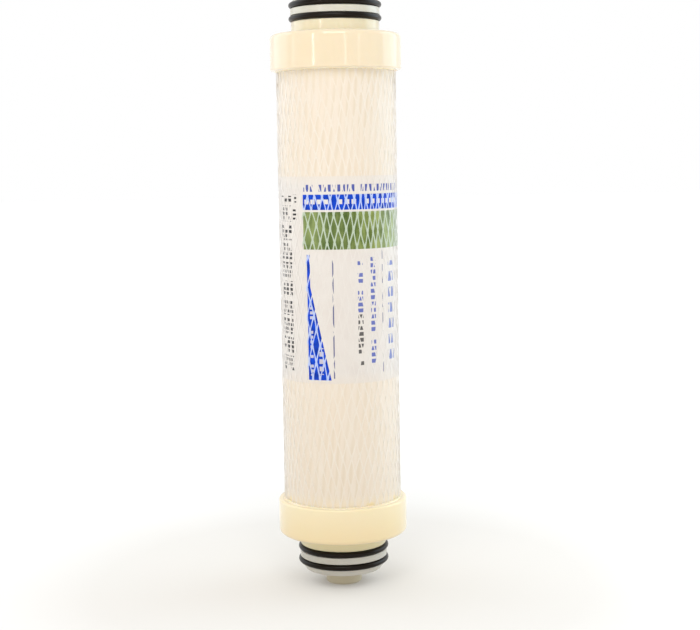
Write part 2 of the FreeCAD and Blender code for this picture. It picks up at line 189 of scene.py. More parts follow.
def rubber():
    """Black O-ring rubber, lightly greased, with a fine moulded skin and a little dust."""
    mat, nodes, links, shader = new_material("seal_rubber")
    where = place(nodes, links)
    dust = noise(nodes, links, where, 420.0, 5.0, 0.7)
    links.new(ramp(nodes, links, dust, [(0.45, (0.0072, 0.0040, 0.0022)), (0.85, (0.016, 0.010, 0.006))]),
              shader.inputs["Base Color"])
    fine = noise(nodes, links, where, 2600.0, 3.0, 0.6)
    level = nodes.new("ShaderNodeMapRange")
    level.inputs["To Min"].default_value = 0.22
    level.inputs["To Max"].default_value = 0.40
    links.new(dust, level.inputs["Value"])
    links.new(level.outputs["Result"], shader.inputs["Roughness"])
    links.new(bump(nodes, links, fine, 0.12, 0.00004), shader.inputs["Normal"])
    shader.inputs["IOR"].default_value = 1.5
    shader.inputs["Specular IOR Level"].default_value = 0.15
    return mat


M_RUBBER = rubber()


def soaked(nodes, links, deg, up):
    """Where resin has soaked up over each drop on the lower rim: a soft spot, by turn and height."""
    total = None
    for at, height, wide, tall in ((-65.0, 36.3, 1.5, 1.5), (65.5, 36.3, 1.4, 1.3), (29.0, 36.2, 2.2, 1.2)):
        x = math_node(nodes, links, "MULTIPLY", math_node(nodes, links, "SUBTRACT", deg, at), 0.41 / wide)
        y = math_node(nodes, links, "MULTIPLY", math_node(nodes, links, "SUBTRACT", up, height), 1.0 / tall)
        square = math_node(nodes, links, "ADD", math_node(nodes, links, "MULTIPLY", x, x), math_node(nodes, links, "MULTIPLY", y, y))
        spot = math_node(nodes, links, "SUBTRACT", 1.0, square, clamp=True)
        total = spot if total is None else math_node(nodes, links, "MAXIMUM", total, spot)
    return total


RESIN_SPOT = (0.790, 0.640, 0.330)


def tape_film():
    """Film tape round the roll: cream to peach patches where the layers below show, faint amber bands of painted strand
    shadow, and wrinkles.
    """
    mat, nodes, links, shader = new_material("tape_film")
    where = place(nodes, links)
    patch = noise(nodes, links, place(nodes, links, (1.0, 1.0, 0.35)), 130.0, 4.0, 0.6)
    film = ramp(nodes, links, patch, [(0.34, (0.748, 0.636, 0.506)), (0.52, (0.752, 0.652, 0.534)), (0.70, (0.762, 0.680, 0.576))])
    # painted shadow of the net: soft amber bands stand in for the shadows of its strands, which cast none; they lean a
    # little and come and go
    coord = nodes.new("ShaderNodeTexCoord")
    split = nodes.new("ShaderNodeSeparateXYZ")
    links.new(coord.outputs["Object"], split.inputs[0])
    turn = math_node(nodes, links, "ARCTAN2", split.outputs["X"], math_node(nodes, links, "MULTIPLY", split.outputs["Y"], -1.0))
    painted_strand_shadow_phase = math_node(nodes, links, "SUBTRACT", math_node(nodes, links, "MULTIPLY", turn, 52.0),
                      math_node(nodes, links, "MULTIPLY", split.outputs["Z"], 230.0))
    drift = math_node(nodes, links, "MULTIPLY", noise(nodes, links, place(nodes, links, (1.0, 1.0, 0.30)), 90.0, 2.0), 9.0)
    wave = math_node(nodes, links, "SINE", math_node(nodes, links, "ADD", painted_strand_shadow_phase, drift))
    band = nodes.new("ShaderNodeMapRange")
    band.inputs["From Min"].default_value = -0.35
    band.inputs["From Max"].default_value = 0.95
    links.new(wave, band.inputs["Value"])
    strength = nodes.new("ShaderNodeMapRange")
    strength.inputs["From Min"].default_value = 0.36
    strength.inputs["From Max"].default_value = 0.60
    strength.inputs["To Min"].default_value = 0.25
    strength.inputs["To Max"].default_value = 0.95
    links.new(noise(nodes, links, place(nodes, links, (1.0, 1.0, 0.5)), 70.0, 2.0), strength.inputs["Value"])
    film = mix_colour(nodes, links, math_node(nodes, links, "MULTIPLY", band.outputs["Result"], strength.outputs["Result"]),
                      film, (0.704, 0.598, 0.458))
    # resin has crept up the film from each rim; its lighter tint is also painted light, lifting the shade beside the
    # rims
    middle = math_node(nodes, links, "ABSOLUTE", math_node(nodes, links, "SUBTRACT", split.outputs["Z"], TOTAL * MM / 2))
    resin_creep_and_painted_fill = nodes.new("ShaderNodeMapRange")
    resin_creep_and_painted_fill.inputs["From Min"].default_value = 0.0805
    resin_creep_and_painted_fill.inputs["From Max"].default_value = 0.0860
    resin_creep_and_painted_fill.inputs["To Max"].default_value = 0.8
    links.new(middle, resin_creep_and_painted_fill.inputs["Value"])
    film = mix_colour(nodes, links, resin_creep_and_painted_fill.outputs["Result"], film, (0.800, 0.690, 0.500))
    spots = soaked(nodes, links, math_node(nodes, links, "MULTIPLY", turn, 180.0 / math.pi),
                   math_node(nodes, links, "MULTIPLY", split.outputs["Z"], 1000.0))
    film = mix_colour(nodes, links, math_node(nodes, links, "MULTIPLY", spots, 0.9), film, RESIN_SPOT)
    links.new(film, shader.inputs["Base Color"])
    wrinkle = noise(nodes, links, place(nodes, links, (1.0, 1.0, 0.25)), 260.0, 2.0, 0.4)
    links.new(bump(nodes, links, wrinkle, 0.03, 0.0002), shader.inputs["Normal"])
    shader.inputs["Roughness"].default_value = 0.42
    shader.inputs["IOR"].default_value = 1.48
    shader.inputs["Sheen Weight"].default_value = 0.30
    shader.inputs["Sheen Roughness"].default_value = 0.40
    return mat


M_TAPE = tape_film()


def adhesive():
    """Cured honey-coloured resin between the net and the skirt."""
    mat, nodes, links, shader = new_material("bond_resin")
    where = place(nodes, links)
    tone = noise(nodes, links, where, 160.0, 4.0, 0.6)
    links.new(ramp(nodes, links, tone, [(0.38, (0.830, 0.700, 0.470)), (0.62, (0.850, 0.750, 0.560))]),
              shader.inputs["Base Color"])
    links.new(bump(nodes, links, noise(nodes, links, where, 900.0), 0.3, 0.0001), shader.inputs["Normal"])
    shader.inputs["Roughness"].default_value = 0.25
    shader.inputs["Subsurface Weight"].default_value = 0.25
    shader.inputs["Subsurface Radius"].default_value = (1.0, 0.5, 0.15)
    shader.inputs["Subsurface Scale"].default_value = 0.0015
    return mat


M_BOND = adhesive()
M_BEAD = moulded("bond_resin_honey", (0.800, 0.560, 0.200), (0.740, 0.440, 0.110), rough=0.18, sss=0.25)


def woven(name, light, dark, scale):
    """Inner sheets, seen only through the windows at the ends."""
    mat, nodes, links, shader = new_material(name)
    where = place(nodes, links)
    weave = noise(nodes, links, where, scale, 3.0, 0.7)
    links.new(ramp(nodes, links, weave, [(0.35, dark), (0.65, light)]), shader.inputs["Base Color"])
    links.new(bump(nodes, links, weave, 0.5, 0.0002), shader.inputs["Normal"])
    shader.inputs["Roughness"].default_value = 0.6
    return mat


M_TRICOT = woven("permeate_tricot", (0.80, 0.79, 0.76), (0.64, 0.63, 0.60), 1800.0)
M_LEAF = woven("membrane_sheet", (0.76, 0.74, 0.66), (0.66, 0.63, 0.55), 900.0)
M_SPACER = woven("spacer_mesh", (0.86, 0.86, 0.85), (0.55, 0.55, 0.54), 1300.0)


# ------------------------------------------------------------------ the printed label
class Print:
    """Shapes on the label, as masks over its unrolled face: degrees from the front (to the right) and millimetres up."""

    def __init__(self, nodes, links):
        self.nodes, self.links = nodes, links
        coord = nodes.new("ShaderNodeTexCoord")
        split = nodes.new("ShaderNodeSeparateXYZ")
        links.new(coord.outputs["Object"], split.inputs[0])
        back = self.op("MULTIPLY", split.outputs["Y"], -1.0)
        turn = self.op("ARCTAN2", split.outputs["X"], back)
        self.deg = self.op("MULTIPLY", turn, 180.0 / math.pi)
        self.up = self.op("MULTIPLY", split.outputs["Z"], 1000.0)
        self.object = coord.outputs["Object"]

    def op(self, operation, a, b=None, clamp=False):
        return math_node(self.nodes, self.links, operation, a, b, clamp)

    def between(self, value, low, high):
        return self.op("MULTIPLY", self.op("GREATER_THAN", value, low), self.op("LESS_THAN", value, high))

    def rect(self, d0, d1, z0, z1):
        return self.op("MULTIPLY", self.between(self.deg, d0, d1), self.between(self.up, z0, z1))

    def any_of(self, *masks):
        total = masks[0]
        for mask in masks[1:]:
            total = self.op("MAXIMUM", total, mask)
        return total

    def both(self, a, b):
        return self.op("MULTIPLY", a, b)

    def random(self, value, seed):
        """White noise for each whole number."""
        node = self.nodes.new("ShaderNodeTexWhiteNoise")
        node.noise_dimensions = "1D"
        self.links.new(self.op("ADD", self.op("FLOOR", value), seed), node.inputs["W"])
        return node.outputs["Value"]

    def bars(self, value, pitch, fill, seed, keep):
        """Bars across value: each pitch holds one, fill of it long, and a share of them is left out."""
        count = self.op("DIVIDE", value, pitch)
        on = self.op("LESS_THAN", self.op("FRACT", count), fill)
        return self.both(on, self.op("LESS_THAN", self.random(count, seed), keep))

    def margin(self):
        """Grows towards the label's upper and lower edges."""
        node = self.nodes.new("ShaderNodeMapRange")
        node.inputs["From Min"].default_value = 36.0
        node.inputs["From Max"].default_value = 40.2
        node.inputs["To Max"].default_value = 0.6
        self.links.new(self.op("ABSOLUTE", self.op("SUBTRACT", self.up, 125.25)), node.inputs["Value"])
        return node.outputs["Result"]

    def green_field(self):
        return self.rect(-36.0, 96.0, 137.3, 151.8)

    def blue_fields(self):
        """A band over the green field, and below it a narrow bar that opens into a straight-sided wedge."""
        edge = self.nodes.new("ShaderNodeMapRange")
        edge.inputs["From Min"].default_value = 86.3
        edge.inputs["From Max"].default_value = 122.8
        edge.inputs["To Min"].default_value = -8.5
        edge.inputs["To Max"].default_value = -29.1
        self.links.new(self.up, edge.inputs["Value"])
        wedge = self.both(self.both(self.op("GREATER_THAN", self.deg, -32.5),
                                    self.op("LESS_THAN", self.deg, edge.outputs["Result"])),
                          self.between(self.up, 86.3, 135.3))
        return self.any_of(self.rect(-36.0, 96.0, 152.6, 158.5), wedge)


def label_print():
    mat, nodes, links, shader = new_material("label_print")
    p = Print(nodes, links)
    film = ramp(nodes, links, noise(nodes, links, p.object, 120.0, 3.0, 0.6),
                [(0.35, (0.686, 0.628, 0.574)), (0.65, (0.714, 0.666, 0.612))])
    film = mix_colour(nodes, links, p.margin(), film, (0.738, 0.654, 0.560))

    # green field: leafy tones, darker a little left of the middle, with painted light making it lighter towards its
    # right edge
    leaf = nodes.new("ShaderNodeTexNoise")
    leaf.inputs["Scale"].default_value = 210.0
    leaf.inputs["Detail"].default_value = 5.0
    leaf.inputs["Roughness"].default_value = 0.65
    links.new(place(nodes, links, (1.0, 1.0, 0.45)), leaf.inputs["Vector"])
    slope = nodes.new("ShaderNodeMapRange")
    slope.inputs["From Min"].default_value = -36.0
    slope.inputs["From Max"].default_value = 84.0
    links.new(p.deg, slope.inputs["Value"])
    base_green = ramp(nodes, links, slope.outputs["Result"],
                      [(0.0, (0.212, 0.280, 0.100)), (0.13, (0.166, 0.234, 0.076)), (0.26, (0.078, 0.134, 0.034)),
                       (0.38, (0.096, 0.150, 0.037)), (0.50, (0.172, 0.236, 0.060)), (0.60, (0.245, 0.302, 0.070)),
                       (0.76, (0.320, 0.405, 0.180)), (1.0, (0.370, 0.450, 0.275))])
    light_green = mix_colour(nodes, links, 0.32, base_green, (0.380, 0.420, 0.150))
    dark_green = mix_colour(nodes, links, 0.62, base_green, (0.030, 0.060, 0.010))
    leafy = nodes.new("ShaderNodeMapRange")
    leafy.inputs["From Min"].default_value = 0.38
    leafy.inputs["From Max"].default_value = 0.62
    links.new(leaf.outputs["Fac"], leafy.inputs["Value"])
    green = mix_colour(nodes, links, leafy.outputs["Result"], dark_green, light_green)
    colour = mix_colour(nodes, links, p.green_field(), film, green)

    # blue band and wedge, a row of small blocks above the band, and a dashed white rule along its middle
    blue = ramp(nodes, links, noise(nodes, links, p.object, 300.0), [(0.36, (0.001, 0.032, 0.330)), (0.64, (0.006, 0.064, 0.590))])
    blocks = p.both(p.rect(-35.0, 90.0, 159.6, 162.3), p.bars(p.deg, 4.6, 0.62, 11.0, 0.84))
    colour = mix_colour(nodes, links, p.blue_fields(), colour, blue)
    colour = mix_colour(nodes, links, p.op("MULTIPLY", blocks, 0.92), colour, (0.030, 0.058, 0.320))
    rule = p.both(p.rect(-34.0, 92.0, 154.8, 156.6), p.bars(p.deg, 6.8, 0.66, 3.0, 0.82))
    colour = mix_colour(nodes, links, rule, colour, film)
    # two rows of small pale marks up the wedge
    pale = p.any_of(p.both(p.rect(-30.0, -26.8, 88.0, 115.0), p.bars(p.up, 1.9, 0.60, 101.0, 0.85)),
                    p.both(p.rect(-20.6, -16.2, 88.5, 99.0), p.bars(p.up, 2.9, 0.62, 113.0, 0.95)))
    colour = mix_colour(nodes, links, p.op("MULTIPLY", pale, 0.74), colour, film)

    # thin upright rules
    rules = p.any_of(p.rect(-6.3, -5.1, 87.0, 134.0),
                     p.both(p.rect(47.3, 48.2, 88.5, 137.0), p.bars(p.up, 9.5, 0.78, 5.0, 0.9)))
    colour = mix_colour(nodes, links, p.op("MULTIPLY", rules, 0.9), colour, (0.060, 0.070, 0.210))

    # two upright columns of small marks, blue above and dark below, and one of larger pale marks
    marks_a = p.both(p.rect(18.6, 24.0, 92.0, 133.0), p.bars(p.up, 2.3, 0.66, 21.0, 0.86))
    marks_b = p.both(p.rect(32.6, 38.4, 92.0, 134.0), p.bars(p.up, 2.5, 0.64, 43.0, 0.84))
    tone = mix_colour(nodes, links, p.both(p.op("LESS_THAN", p.up, 112.5), p.op("LESS_THAN", p.deg, 28.0)),
                      (0.045, 0.085, 0.400), (0.024, 0.021, 0.024))
    colour = mix_colour(nodes, links, p.op("MULTIPLY", p.any_of(marks_a, marks_b), 0.86), colour, tone)
    marks_c = p.both(p.rect(57.0, 68.0, 93.0, 132.0), p.bars(p.up, 6.2, 0.62, 9.0, 0.88))
    colour = mix_colour(nodes, links, p.op("MULTIPLY", marks_c, 0.86), colour, (0.110, 0.170, 0.480))

    # a table of tiny dark dashes at the left, in three columns
    cells = None
    for d0, d1, seed in ((-75.0, -67.0, 61.0), (-65.5, -59.5, 67.0), (-57.5, -52.5, 71.0)):
        cell = p.both(p.rect(d0, d1, 88.0, 158.0), p.bars(p.up, 1.75, 0.68, seed, 0.86))
        cells = cell if cells is None else p.op("MAXIMUM", cells, cell)
    side = p.both(p.rect(-50.0, -44.5, 146.5, 158.5), p.bars(p.up, 1.6, 0.5, 83.0, 0.7))
    gaps = p.bars(p.up, 7.4, 0.84, 91.0, 1.1)
    table = p.both(p.any_of(cells, side), gaps)
    colour = mix_colour(nodes, links, p.op("MULTIPLY", table, 0.97), colour, (0.020, 0.017, 0.018))

    links.new(colour, shader.inputs["Base Color"])
    wrinkle = noise(nodes, links, place(nodes, links, (1.0, 1.0, 0.3)), 220.0, 3.0, 0.5)
    links.new(bump(nodes, links, wrinkle, 0.25, 0.0002), shader.inputs["Normal"])
    shader.inputs["Roughness"].default_value = 0.34
    shader.inputs["IOR"].default_value = 1.49
    shader.inputs["Specular IOR Level"].default_value = 0.10
    shader.inputs["Sheen Weight"].default_value = 0.32
    shader.inputs["Sheen Roughness"].default_value = 0.40
    return mat


M_LABEL = label_print()


def net_plastic():
    """Extruded polyethylene netting: milky, with drawn streaks along the strands, and painted light in the tone of what
    lies beneath it.
    """
    mat, nodes, links, shader = new_material("net_polyethylene")
    streak = noise(nodes, links, place(nodes, links, (1.0, 1.0, 0.12)), 1500.0, 3.0, 0.6)
    patch = noise(nodes, links, place(nodes, links), 60.0, 2.0)
    tone = math_node(nodes, links, "ADD", math_node(nodes, links, "MULTIPLY", streak, 0.5),
                     math_node(nodes, links, "MULTIPLY", patch, 0.5))
    milk = ramp(nodes, links, tone, [(0.35, (0.748, 0.650, 0.530)), (0.65, (0.772, 0.696, 0.596))])
    # painted light: the light that milky strands would let through from the label is painted into the strands over it,
    # most of all over the print
    p = Print(nodes, links)
    over_film = ramp(nodes, links, tone, [(0.35, (0.690, 0.630, 0.572)), (0.65, (0.718, 0.670, 0.616))])
    over_film = mix_colour(nodes, links, p.margin(), over_film, (0.740, 0.656, 0.562))
    milk = mix_colour(nodes, links, p.between(p.up, 85.0, 165.5), milk, over_film)
    milk = mix_colour(nodes, links, p.op("MULTIPLY", p.green_field(), 0.92), milk, (0.428, 0.514, 0.376))
    milk = mix_colour(nodes, links, p.op("MULTIPLY", p.blue_fields(), 0.95), milk, (0.410, 0.500, 0.800))
    milk = mix_colour(nodes, links, p.op("MULTIPLY", soaked(nodes, links, p.deg, p.up), 0.9), milk, RESIN_SPOT)
    links.new(milk, shader.inputs["Base Color"])
    links.new(bump(nodes, links, streak, 0.10, 0.00005), shader.inputs["Normal"])
    shader.inputs["Roughness"].default_value = 0.42
    shader.inputs["IOR"].default_value = 1.48
    shader.inputs["Sheen Weight"].default_value = 1.0
    shader.inputs["Sheen Roughness"].default_value = 0.45
    return mat


M_NET = net_plastic()


# ------------------------------------------------------------------ mesh helpers
def add_object(name, verts, faces, material, replaces=(), smooth=True, sharp=40.0):
    mesh = bpy.data.meshes.new(name)
    mesh.from_pydata([tuple(v) for v in verts], [], faces)
    mesh.validate()
    mesh.update()
    obj = bpy.data.objects.new(name, mesh)
    scene.collection.objects.link(obj)
    mesh.materials.append(material)
    if smooth:
        mesh.shade_smooth()
        mesh.set_sharp_from_angle(angle=math.radians(sharp))
    if replaces:
        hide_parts(*replaces)
    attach(obj, "root")
    return obj


def rounded(points, steps=8):
    """A closed run of (r, z) corners, where a corner (r, z, f) is rounded with radius f."""
    out, count = [], len(points)
    for i, point in enumerate(points):
        r, z = point[0], point[1]
        radius = point[2] if len(point) > 2 else 0.0
        if not radius:
            out.append((r, z))
            continue
        here = Vector((r, z))
        before = (Vector(points[i - 1][:2]) - here).normalized()
        after = (Vector(points[(i + 1) % count][:2]) - here).normalized()
        half = before.angle(after) / 2
        reach = radius / math.tan(half)
        centre = here + (before + after).normalized() * (radius / math.sin(half))
        start, end = here + before * reach - centre, here + after * reach - centre
        sweep = start.angle_signed(end)
        for k in range(steps + 1):
            spun = Matrix.Rotation(-sweep * k / steps, 2) @ start
            out.append((centre.x + spun.x, centre.y + spun.y))
    return out


def lathe(name, profile, material, replaces=(), segments=180, upper=False, sharp=40.0, wobble=None):
    """Turns a closed (r, z) outline, in millimetres, round the axis. upper puts it at the other end of the element."""
    count = len(profile)
    angles = np.linspace(0.0, 2 * math.pi, segments, endpoint=False)
    rs = np.array([p[0] for p in profile])
    zs = np.array([p[1] for p in profile])
    verts = np.zeros((segments, count, 3))
    for i, a in enumerate(angles):
        r, z = (rs, zs) if wobble is None else wobble(a, rs, zs)
        verts[i, :, 0], verts[i, :, 1], verts[i, :, 2] = r * math.cos(a), r * math.sin(a), z
    if upper:
        verts[:, :, 1] *= -1
        verts[:, :, 2] = TOTAL - verts[:, :, 2]
    faces = []
    for i in range(segments):
        k = (i + 1) % segments
        for j in range(count):
            n = (j + 1) % count
            faces.append((i * count + j, k * count + j, k * count + n, i * count + n))
    area = 0.5 * sum(profile[j][0] * profile[(j + 1) % count][1] - profile[(j + 1) % count][0] * profile[j][1]
                     for j in range(count))
    if area < 0:
        faces = [f[::-1] for f in faces]
    return add_object(name, verts.reshape(-1, 3) * MM, faces, material, replaces, sharp=sharp)


# ------------------------------------------------------------------ end caps
CAP = rounded([
    (16.04, 16.25, 0.12), (17.4, 16.25, 0.30), (17.4, 21.0, 0.5), (26.0, 21.0, 2.0), (26.0, 35.3, 0.8),
    (24.15, 35.3, 0.12), (24.15, 23.6, 0.4), (16.04, 23.6),
])


def cap_ribs(name, upper, material):
    """The ribs on the cap floor that the roll stands on."""
    mesh = bmesh.new()
    for k in range(8):
        a = 2 * math.pi * k / 8
        block = bmesh.ops.create_cube(mesh, size=1.0)["verts"]
        bmesh.ops.scale(mesh, vec=Vector((7.2, 1.6, 3.3)) * MM, verts=block)
        bmesh.ops.translate(mesh, vec=Vector((19.95, 0, 25.13)) * MM, verts=block)
        bmesh.ops.rotate(mesh, cent=(0, 0, 0), matrix=Matrix.Rotation(a, 3, "Z"), verts=block)
    if upper:
        for v in mesh.verts:
            v.co.y, v.co.z = -v.co.y, TOTAL * MM - v.co.z
    bmesh.ops.bevel(mesh, geom=mesh.edges[:], offset=0.15 * MM, segments=2, affect="EDGES", profile=0.5)
    bmesh.ops.recalc_face_normals(mesh, faces=mesh.faces[:])
    data = bpy.data.meshes.new(name)
    mesh.to_mesh(data)
    mesh.free()
    obj = bpy.data.objects.new(name, data)
    scene.collection.objects.link(obj)
    data.materials.append(material)
    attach(obj, "root")


for end, upper in (("lower", False), ("upper", True)):
    lathe("end_cap_%s_shell" % end, CAP, M_CAP[end], ("end_cap_%s" % end,), upper=upper)
    cap_ribs("end_cap_%s_ribs" % end, upper, M_CAP[end])

# ------------------------------------------------------------------ seal carriers
CARRIER = rounded([
    (13.6, 5.85), (15.3, 5.85, 0.35), (17.2, 8.5, 0.12), (16.02, 8.5, 0.08), (16.02, 11.15, 0.08),
    (17.65, 11.15, 0.12), (17.65, 13.75, 0.12), (16.02, 13.75, 0.08), (16.02, 25.3, 0.2), (13.6, 25.3, 0.2),
])


def windowed_web(name, upper, material):
    """The spoked web and hub between the carrier's wall and the tube, with six arc-shaped windows."""
    angles = 180
    rings = [7.52, 9.9, 13.2, 13.62]
    low, high = 5.85, 8.9
    verts, faces, index = [], [], {}

    def vert(i, j, z):
        key = (i % angles, j, z)
        if key not in index:
            a = 2 * math.pi * (i % angles) / angles
            index[key] = len(verts)
            verts.append((rings[j] * math.cos(a), rings[j] * math.sin(a), z))
        return index[key]

    def solid(i, j):
        if j < 0 or j > 2:
            return False
        if j != 1:
            return True
        turn = (i % angles + 0.5) * 360 / angles % 60
        return 22.0 < turn < 38.0

    for i in range(angles):
        for j in range(3):
            if not solid(i, j):
                continue
            a, b, c, d = (vert(i, j, low), vert(i, j + 1, low), vert(i + 1, j + 1, low), vert(i + 1, j, low))
            e, f, g, h = (vert(i, j, high), vert(i, j + 1, high), vert(i + 1, j + 1, high), vert(i + 1, j, high))
            faces += [(d, c, b, a), (e, f, g, h)]
            if not solid(i, j + 1):
                faces.append((b, c, g, f))
            if not solid(i, j - 1):
                faces.append((d, a, e, h))
            if not solid(i + 1, j):
                faces.append((c, d, h, g))
            if not solid(i - 1, j):
                faces.append((a, b, f, e))
    points = [(x * MM, (-y if upper else y) * MM, ((TOTAL - z) if upper else z) * MM) for x, y, z in verts]
    add_object(name, points, faces, material, sharp=30.0)


for end, upper in (("lower", False), ("upper", True)):
    lathe("seal_carrier_%s_body" % end, CARRIER, M_CARRIER[end], ("seal_carrier_%s" % end,),
          upper=upper)
    windowed_web("seal_carrier_%s_web" % end, upper, M_CARRIER[end])
    hub = rounded([(7.52, 8.8), (9.5, 8.8), (9.5, 17.7, 0.4), (7.52, 17.7, 0.2)])
    lathe("seal_carrier_%s_hub" % end, hub, M_CARRIER[end], upper=upper, segments=120)

# ------------------------------------------------------------------ O-rings
for end, upper in (("lower", False), ("upper", True)):
    for which, height in (("outer", 9.75), ("inner", 15.0)):
        ring = [(17.19 + 1.15 * math.cos(t), height + 1.15 * math.sin(t))
                for t in np.linspace(0, 2 * math.pi, 28, endpoint=False)]
        lathe("o_ring_%s_%s_seal" % (end, which), ring, M_RUBBER, ("o_ring_%s_%s" % (end, which),),
              upper=upper, segments=200, sharp=80.0)

# ------------------------------------------------------------------ product tube ends and inner sheets
for node, material in (("permeate_tube", M_TUBE), ("permeate_carrier", M_TRICOT), ("membrane_leaf", M_LEAF),
                       ("feed_spacer", M_SPACER), ("glue_line_lower", M_BOND), ("glue_line_upper", M_BOND)):
    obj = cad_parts[node]
    obj.data.materials.clear()
    obj.data.materials.append(material)

# ------------------------------------------------------------------ tape and label
ROLL_LOW, ROLL_HIGH = 26.8, TOTAL - 26.8


def skin(name, inner, outer, low, high, material, node, first=0.0, last=2 * math.pi, around=240, along=60,
         relief=0.0):
    """A thin wrapped film as a closed band, with a gentle unevenness in its outer face that never leaves its room."""
    closed = abs(last - first - 2 * math.pi) < 1e-6
    cols = around if closed else around + 1
    verts, faces = [], []
    for side in (0, 1):
        for j in range(along + 1):
            z = low + (high - low) * j / along
            for i in range(cols):
                a = first + (last - first) * i / around
                wave = 0.5 + 0.5 * math.sin(3 * a + 0.19 * z + 1.1 * math.sin(0.07 * z + 2 * a)) * math.sin(5 * a - 0.05 * z)
                r = outer - relief * wave if side else inner
                verts.append((r * math.cos(a) * MM, r * math.sin(a) * MM, z * MM))
    layer = (along + 1) * cols

    def at(side, i, j):
        return side * layer + j * cols + (i % cols if closed else i)

    for j in range(along):
        for i in range(around):
            faces.append((at(1, i, j), at(1, i + 1, j), at(1, i + 1, j + 1), at(1, i, j + 1)))
            faces.append((at(0, i, j + 1), at(0, i + 1, j + 1), at(0, i + 1, j), at(0, i, j)))
    for i in range(around):
        faces.append((at(0, i, 0), at(0, i + 1, 0), at(1, i + 1, 0), at(1, i, 0)))
        faces.append((at(1, i, along), at(1, i + 1, along), at(0, i + 1, along), at(0, i, along)))
    if not closed:
        for j in range(along):
            faces.append((at(0, 0, j), at(1, 0, j), at(1, 0, j + 1), at(0, 0, j + 1)))
            faces.append((at(1, around, j), at(0, around, j), at(0, around, j + 1), at(1, around, j + 1)))
    return add_object(name, verts, faces, material, (node,), sharp=40.0)


skin("roll_tape_wrap", 22.72, 22.84, ROLL_LOW, ROLL_HIGH, M_TAPE, "roll_tape", relief=0.05)
gap = math.radians(4.0)
skin("label_wrap", 22.86, 22.96, 85.0, 165.5, M_LABEL, "label",
     first=math.pi / 2 + gap, last=2.5 * math.pi - gap, relief=0.04)

# ------------------------------------------------------------------ net sleeve
STRANDS = 47
RISE = 2 * math.pi / (STRANDS * 11.7)  # turn per millimetre of height, for diamonds 11.7 mm high


def warp(angle, z):
    """The net's pull and drift: a smooth shift of the whole mesh, so that its crossings stay whole."""
    ends = np.clip(np.minimum(z - ROLL_LOW, ROLL_HIGH - z) / 12.0, 0.0, 1.0)
    turn = (0.46 * np.sin(2 * angle + 0.031 * z + 0.6) + 0.30 * np.sin(3 * angle - 0.052 * z + 2.1)
            + 0.20 * np.sin(7 * angle + 0.083 * z + 4.0) + 0.10 * np.sin(13 * angle - 0.21 * z + 0.9))
    lift = (1.5 * np.sin(2 * angle - 0.023 * z + 1.7) + 1.1 * np.sin(4 * angle + 0.047 * z + 3.3)
            + 0.6 * np.sin(9 * angle - 0.11 * z + 5.2))
    return angle + turn * (2 * math.pi / STRANDS) * 0.55, z + lift * ends


def strands(name, way, middle, samples=150, sides=8):
    """One family of strands, all wound the same way, thicker where they are welded to the other family."""
    z = np.linspace(ROLL_LOW, ROLL_HIGH, samples)
    verts, faces = [], []
    for k in range(STRANDS):
        angle = 2 * math.pi * k / STRANDS + way * RISE * (z - TOTAL / 2)
        step = (z - TOTAL / 2) / (11.7 / 2)
        weld = np.exp(-((step - np.round(step)) / 0.16) ** 2)
        fat = 1.0 + 0.14 * math.sin(2.7 * k + 1.0) + 0.08 * np.sin(0.16 * z + 1.9 * k)
        turn, height = warp(angle, z)
        height = np.clip(height, ROLL_LOW, ROLL_HIGH)
        radius = middle + (23.365 - middle) * 0.45 * weld
        core = np.stack([radius * np.cos(turn), radius * np.sin(turn), height], 1)
        along = np.gradient(core, axis=0)
        along /= np.linalg.norm(along, axis=1)[:, None]
        out = np.stack([np.cos(turn), np.sin(turn), np.zeros_like(turn)], 1)
        across = np.cross(along, out)
        across /= np.linalg.norm(across, axis=1)[:, None]
        half_wide = (0.225 * fat + 0.22 * weld)[:, None]
        half_thick = (0.110 + 0.075 * weld)[:, None]
        base = len(verts)
        rings = []
        for s in range(sides):
            t = 2 * math.pi * (s + 0.5) / sides
            rings.append(core + across * half_wide * math.cos(t) + out * half_thick * math.sin(t))
        ring = np.stack(rings, 1).reshape(-1, 3) * MM
        verts.extend(ring.tolist())
        for i in range(samples - 1):
            for s in range(sides):
                n = (s + 1) % sides
                a, b = base + i * sides, base + (i + 1) * sides
                faces.append((a + s, b + s, b + n, a + n))
        faces.append(tuple(base + s for s in range(sides)))
        faces.append(tuple(base + (samples - 1) * sides + s for s in range(sides))[::-1])
    obj = add_object(name, verts, faces, M_NET, ("net_sleeve",), sharp=180.0)
    # a milky strand shades softly, as light spreads inside it: its normals lean in or out more than its faces do
    mesh = obj.data
    place_of = np.array([v.co for v in mesh.vertices])
    faced = np.array([v.normal for v in mesh.vertices])
    outward = place_of * (1.0, 1.0, 0.0)
    outward /= np.linalg.norm(outward, axis=1)[:, None]
    lean = (faced * outward).sum(1)[:, None]
    soft = np.sign(lean) * np.clip(np.abs(lean) * 2.0, 0.0, 1.0) * outward + 0.28 * faced
    soft /= np.linalg.norm(soft, axis=1)[:, None]
    mesh.normals_split_custom_set_from_vertices([tuple(n) for n in soft])
    return obj


# the milky strands let light through, so they don't darken each other or the film under them
for piece in (strands("net_strands_inner", -1, 23.12), strands("net_strands_outer", 1, 23.62)):
    piece.visible_diffuse = False
    piece.visible_shadow = False


